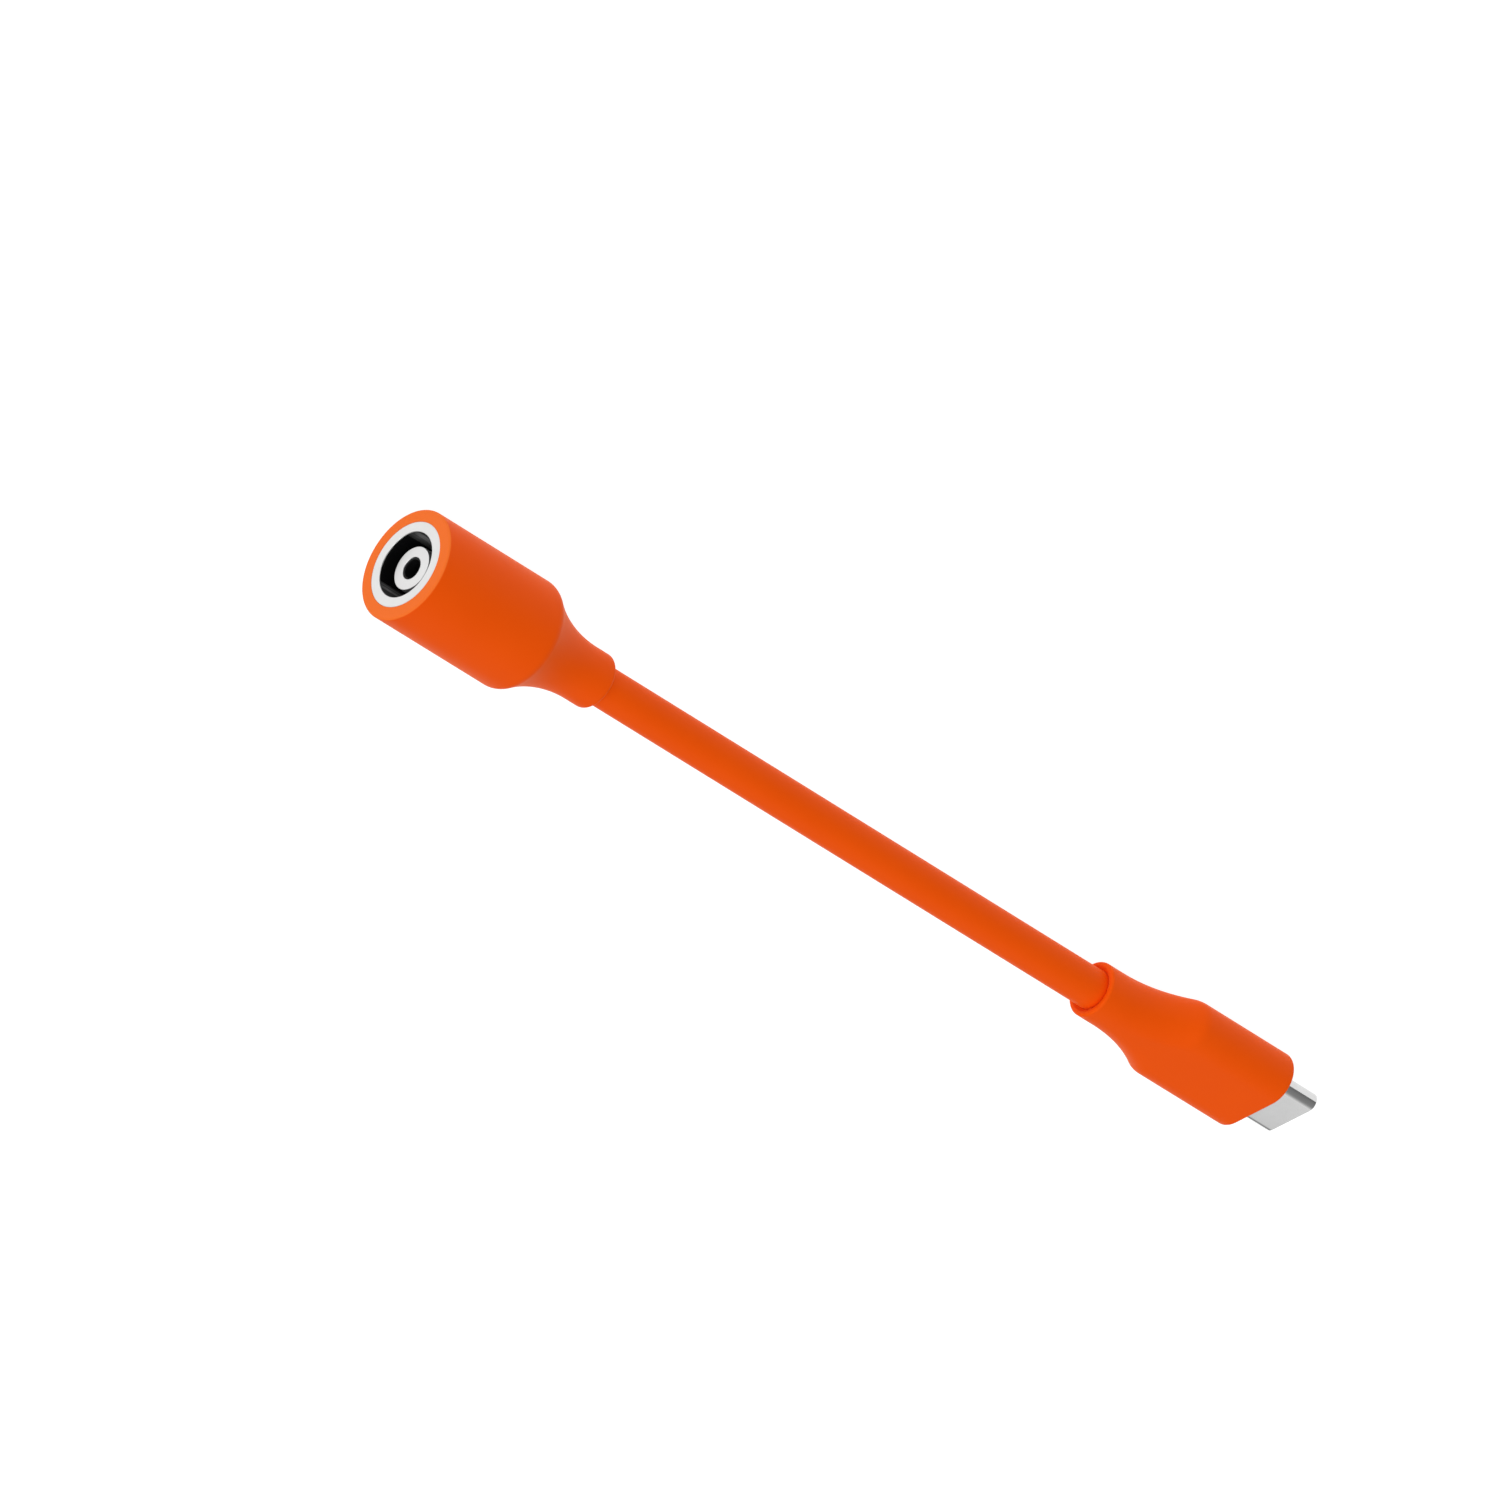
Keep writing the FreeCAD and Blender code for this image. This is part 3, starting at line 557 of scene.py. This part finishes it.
def racetracks(stations, arc_count=40):
    """Two half rounds joined by flats, one for each row (x, half flat, radius) of the stations."""
    turn = np.linspace(-90, 90, arc_count + 1)
    turn = np.radians(np.concatenate([turn, turn + 180]))
    side = np.repeat([1.0, -1.0], arc_count + 1)
    x, flat, radius = (stations[:, i:i + 1] for i in range(3))
    y = side * flat + radius * np.cos(turn)
    return np.stack([np.repeat(x, len(turn), 1), y, radius * np.sin(turn)], -1)


def stations(path, radius):
    """Rows (x, half flat, radius) from a path of (x, half flat) with one radius all along."""
    return np.column_stack([path, np.full(len(path), radius)])


flare_angle = math.degrees(math.acos(1 - (grip_flat - collar_flat) / (flare_r + grip_shoulder_r)))
flare_end = flare_start + (flare_r + grip_shoulder_r) * math.sin(math.radians(flare_angle))
hollow = bend((flare_start, collar_flat + flare_r), flare_r, 270, 270 + flare_angle, 40)
crown = bend((flare_end, grip_flat - grip_shoulder_r), grip_shoulder_r, 90 + flare_angle, 90, 20)


def rounded_end(face_x, inward, fillet, flat):
    """Stations of a rolled edge, face to side: x and radius follow a quarter circle."""
    turn = np.radians(np.linspace(90, 0, fillet_points))
    x = face_x + inward * fillet * (1 - np.sin(turn))
    return np.column_stack([x, np.full(fillet_points, flat), side_round_r - fillet * (1 - np.cos(turn))])


inner_r = side_round_r - mould_wall
grip_stations = joined(
    run((plug_rear, 0.0, relief_r), (plug_rear, collar_flat, side_round_r - grip_rear_fillet)),
    rounded_end(plug_rear, 1, grip_rear_fillet, collar_flat),
    run((plug_rear + grip_rear_fillet, collar_flat, side_round_r), (flare_start, collar_flat, side_round_r)),
    stations(hollow, side_round_r),
    stations(crown, side_round_r),
    run((flare_end, grip_flat, side_round_r), (plug_front - grip_front_fillet, grip_flat, side_round_r)),
    rounded_end(plug_front, -1, grip_front_fillet, grip_flat)[::-1],
    run((plug_front, grip_flat, side_round_r - grip_front_fillet), (plug_front, shell_flat, shell_r)),
    run((plug_front, shell_flat, shell_r), (plug_front - front_wall, shell_flat, shell_r)),
    run((plug_front - front_wall, shell_flat, shell_r), (plug_front - front_wall, grip_flat, inner_r)),
    run((plug_front - front_wall, grip_flat, inner_r), (flare_end, grip_flat, inner_r)),
    stations(crown[::-1], inner_r),
    stations(hollow[:mould_first:-1], inner_r),
    run((*hollow[mould_first], inner_r), (jacket_end, 0.0, jacket_r)),
    run((jacket_end, 0.0, jacket_r), (plug_rear + relief_depth, 0.0, jacket_r)),
    run((plug_rear + relief_depth, 0.0, jacket_r), (plug_rear, 0.0, relief_r)))
skin(
    "orange_plug_grip", racetracks(grip_stations), orange_rubber, "orange_overmould",
    "plug_overmould")

# --- Plug tip ---
# The shell is deep drawn from stainless strip into a seamless racetrack sleeve with a rolled lip.
# It is bright from the draw, with hair-fine marks along its length.
shell_back, tip_end = reach("plug_shell")
shell_wall = 0.3
shell_lip = 0.12
steel_deep = (0.61, 0.61, 0.608, 1.0)
steel_light = (0.69, 0.69, 0.688, 1.0)


def drawn_steel(place):
    """Stainless strip drawn along X: noise squeezed along the draw, under a faint cloud."""
    draw = place.stretched(0.03, 1.0, 1.0).noise(7000.0, 3.0, 0.6)
    cloud = place.noise(500.0, 2.0)
    return {
        "Base Color": cloud.blend(steel_deep, steel_light),
        "Roughness": 0.06 + 0.08 * draw + 0.03 * cloud,
        "Normal": draw.dents(0.0000008, 0.35),
    }


stainless = finish_of("tip_steel", drawn_steel, Metallic=1.0)
lip = np.radians(np.linspace(90, 0, 7))
lip_x = tip_end - shell_lip * (1 - np.sin(lip))
lip_out = np.column_stack([lip_x, np.full(len(lip), shell_flat), shell_r - shell_lip * (1 - np.cos(lip))])
tip_stations = joined(
    run((shell_back, shell_flat, shell_r), (tip_end - shell_lip, shell_flat, shell_r)),
    lip_out[::-1],
    run((tip_end, shell_flat, shell_r - shell_lip), (tip_end, shell_flat, shell_r - shell_wall)),
    run((tip_end, shell_flat, shell_r - shell_wall), (shell_back, shell_flat, shell_r - shell_wall)),
    run((shell_back, shell_flat, shell_r - shell_wall), (shell_back, shell_flat, shell_r)))
skin("steel_plug_shell", racetracks(tip_stations, 32), stainless, "tip_steel", "plug_shell")
paint(stainless, "latch_plate")

# --- Wires inside the jacket ---
# Two stranded power wires and one thin sense wire in coloured plastic covers, with a spun filler.
# None of them shows outside the jacket.
wire_colours = {
    "red_wire_insulation": ((0.45, 0.012, 0.01, 1.0), (0.58, 0.025, 0.018, 1.0)),
    "black_wire_insulation": ((0.008, 0.008, 0.009, 1.0), (0.02, 0.02, 0.021, 1.0)),
    "white_wire_insulation": ((0.66, 0.65, 0.62, 1.0), (0.78, 0.77, 0.74, 1.0)),
    "filler_cord": ((0.50, 0.46, 0.38, 1.0), (0.66, 0.62, 0.54, 1.0)),
}


def extruded(deep, light):
    """A look of extruded plastic: a lengthwise grain from the die, with slightly uneven gloss."""
    def look(place):
        grain = place.stretched(0.05, 1.0, 1.0).noise(4000.0, 3.0)
        return {
            "Base Color": grain.blend(deep, light),
            "Roughness": 0.35 + 0.2 * grain,
            "Normal": grain.dents(0.000004, 0.4),
        }
    return look


for name, (deep, light) in wire_colours.items():
    paint(finish_of(name, extruded(deep, light)), name)


def stranded(place):
    """Bright copper strands: fine lines along the wire, browner between them."""
    strands = place.stretched(0.02, 1.0, 1.0).noise(12000.0, 2.0)
    return {
        "Base Color": strands.blend((0.55, 0.22, 0.11, 1.0), (0.93, 0.52, 0.34, 1.0)),
        "Roughness": 0.22 + 0.2 * strands,
        "Normal": strands.dents(0.000015, 0.7),
    }


copper = finish_of("bare_copper", stranded, Metallic=1.0)
paint(copper, "red_wire_copper", "black_wire_copper", "white_wire_copper")

# --- Sealed pieces ---
# Terminals, solder, the cast inner moulds, the board and its parts, the shield cans and the crimped ferrule.
# All of them are closed in by the orange mouldings.


def sealed(deep, light, scale, rough, depth):
    """A look mottled between two colours, with roughness and relief from the same noise."""
    def look(place):
        mottle = place.noise(scale, 3.0)
        return {
            "Base Color": mottle.blend(deep, light),
            "Roughness": rough + 0.15 * mottle,
            "Normal": mottle.dents(depth, 0.5),
        }
    return look


sealed_pieces = [
    ("soft_solder", 1.0, (0.52, 0.53, 0.54, 1.0), (0.72, 0.73, 0.74, 1.0), 3000.0, 0.2, 0.000006,
     ("socket_solder_joints", "plug_solder_joints")),
    ("tinned_brass", 1.0, (0.66, 0.62, 0.50, 1.0), (0.80, 0.77, 0.68, 1.0), 1500.0, 0.22, 0.000002,
     ("barrel_terminal", "centre_terminal")),
    ("ferrule_brass", 1.0, (0.70, 0.50, 0.22, 1.0), (0.86, 0.68, 0.36, 1.0), 1200.0, 0.25, 0.000002,
     ("cable_ferrule",)),
    ("can_steel", 1.0, (0.55, 0.55, 0.54, 1.0), (0.70, 0.70, 0.69, 1.0), 1400.0, 0.28, 0.000002,
     ("upper_shield_can", "lower_shield_can")),
    ("cast_inner_mould", 0.0, (0.50, 0.48, 0.42, 1.0), (0.66, 0.64, 0.58, 1.0), 500.0, 0.4, 0.000020,
     ("socket_inner_mould", "plug_inner_mould")),
    ("board_mask", 0.0, (0.004, 0.07, 0.022, 1.0), (0.010, 0.13, 0.045, 1.0), 900.0, 0.3, 0.000006,
     ("circuit_board",)),
    ("chip_epoxy", 0.0, (0.010, 0.010, 0.011, 1.0), (0.03, 0.03, 0.03, 1.0), 4000.0, 0.5, 0.000006,
     ("controller_chip", "surface_parts")),
]
for name, metal, deep, light, scale, rough, depth, nodes in sealed_pieces:
    paint(finish_of(name, sealed(deep, light, scale, rough, depth), Metallic=metal), *nodes)

# --- Floor and light ---
# The lead lies on a white sweep, resting on the shoulder of the socket and on the front of the plug.
# The light is a soft tent: a level tone, with one broad lamp high over the socket's end and two weaker ones.
# The camera itself sees the tent as plain white.
floor_slope = (body_r - side_round_r) / (plug_front - grip_front_fillet - body_length)
floor_half = 3.0
floor_glow = 0.995
floor_low = -(body_r + floor_slope * body_length) * MM
corners = [
    (x * floor_half, y * floor_half, floor_low + floor_slope * x * floor_half)
    for x, y in ((-1, -1), (1, -1), (1, 1), (-1, 1))]
floor_mesh = bpy.data.meshes.new("white_floor")
floor_mesh.from_pydata(corners, [], [(0, 1, 2, 3)])


def white_sweep(place):
    """Matt white card with a barely uneven tone."""
    tone = place.noise(6.0, 2.0)
    return {"Base Color": tone.blend((0.115, 0.115, 0.115, 1.0), (0.125, 0.125, 0.125, 1.0))}


floor_card = finish_of(
    "white_card", white_sweep, Roughness=0.9, Specular_IOR_Level=0.1,
    Emission_Color=(1.0, 1.0, 1.0, 1.0), Emission_Strength=floor_glow)
floor_mesh.materials.append(floor_card)
floor = bpy.data.objects.new("white_floor", floor_mesh)
bpy.context.collection.objects.link(floor)

tent = bpy.data.worlds.new("light_tent")
tent.use_nodes = True
tent_tree = tent.node_tree
sky = tent_tree.nodes["Background"]
heading = Brush(tent_tree).node("ShaderNodeTexCoord", {}, {}, "Generated")
lamps = [
    ((-0.50, 0.03, 0.87), 2.45, 5.0),
    ((0.62, -0.45, 0.64), 0.85, 12.0),
    ((0.41, 0.71, 0.57), 0.15, 5.0),
]
tent_level = 0.10
level = tent_level
for toward, strength, focus in lamps:
    facing = heading.node(
        "ShaderNodeVectorMath", {"operation": "DOT_PRODUCT"}, {0: heading, 1: toward}, "Value")
    glow = focus * (facing - 1.0)
    level = level + strength * glow.math("EXPONENT", glow)
seen = heading.node("ShaderNodeLightPath", {}, {}, "Is Camera Ray")
level = level + seen * (1.0 - level)
tent_tree.links.new(level.socket, sky.inputs["Strength"])
sky.inputs["Color"].default_value = (1.0, 1.0, 1.0, 1.0)
bpy.context.scene.world = tent
bpy.context.scene.view_settings.view_transform = "Standard"
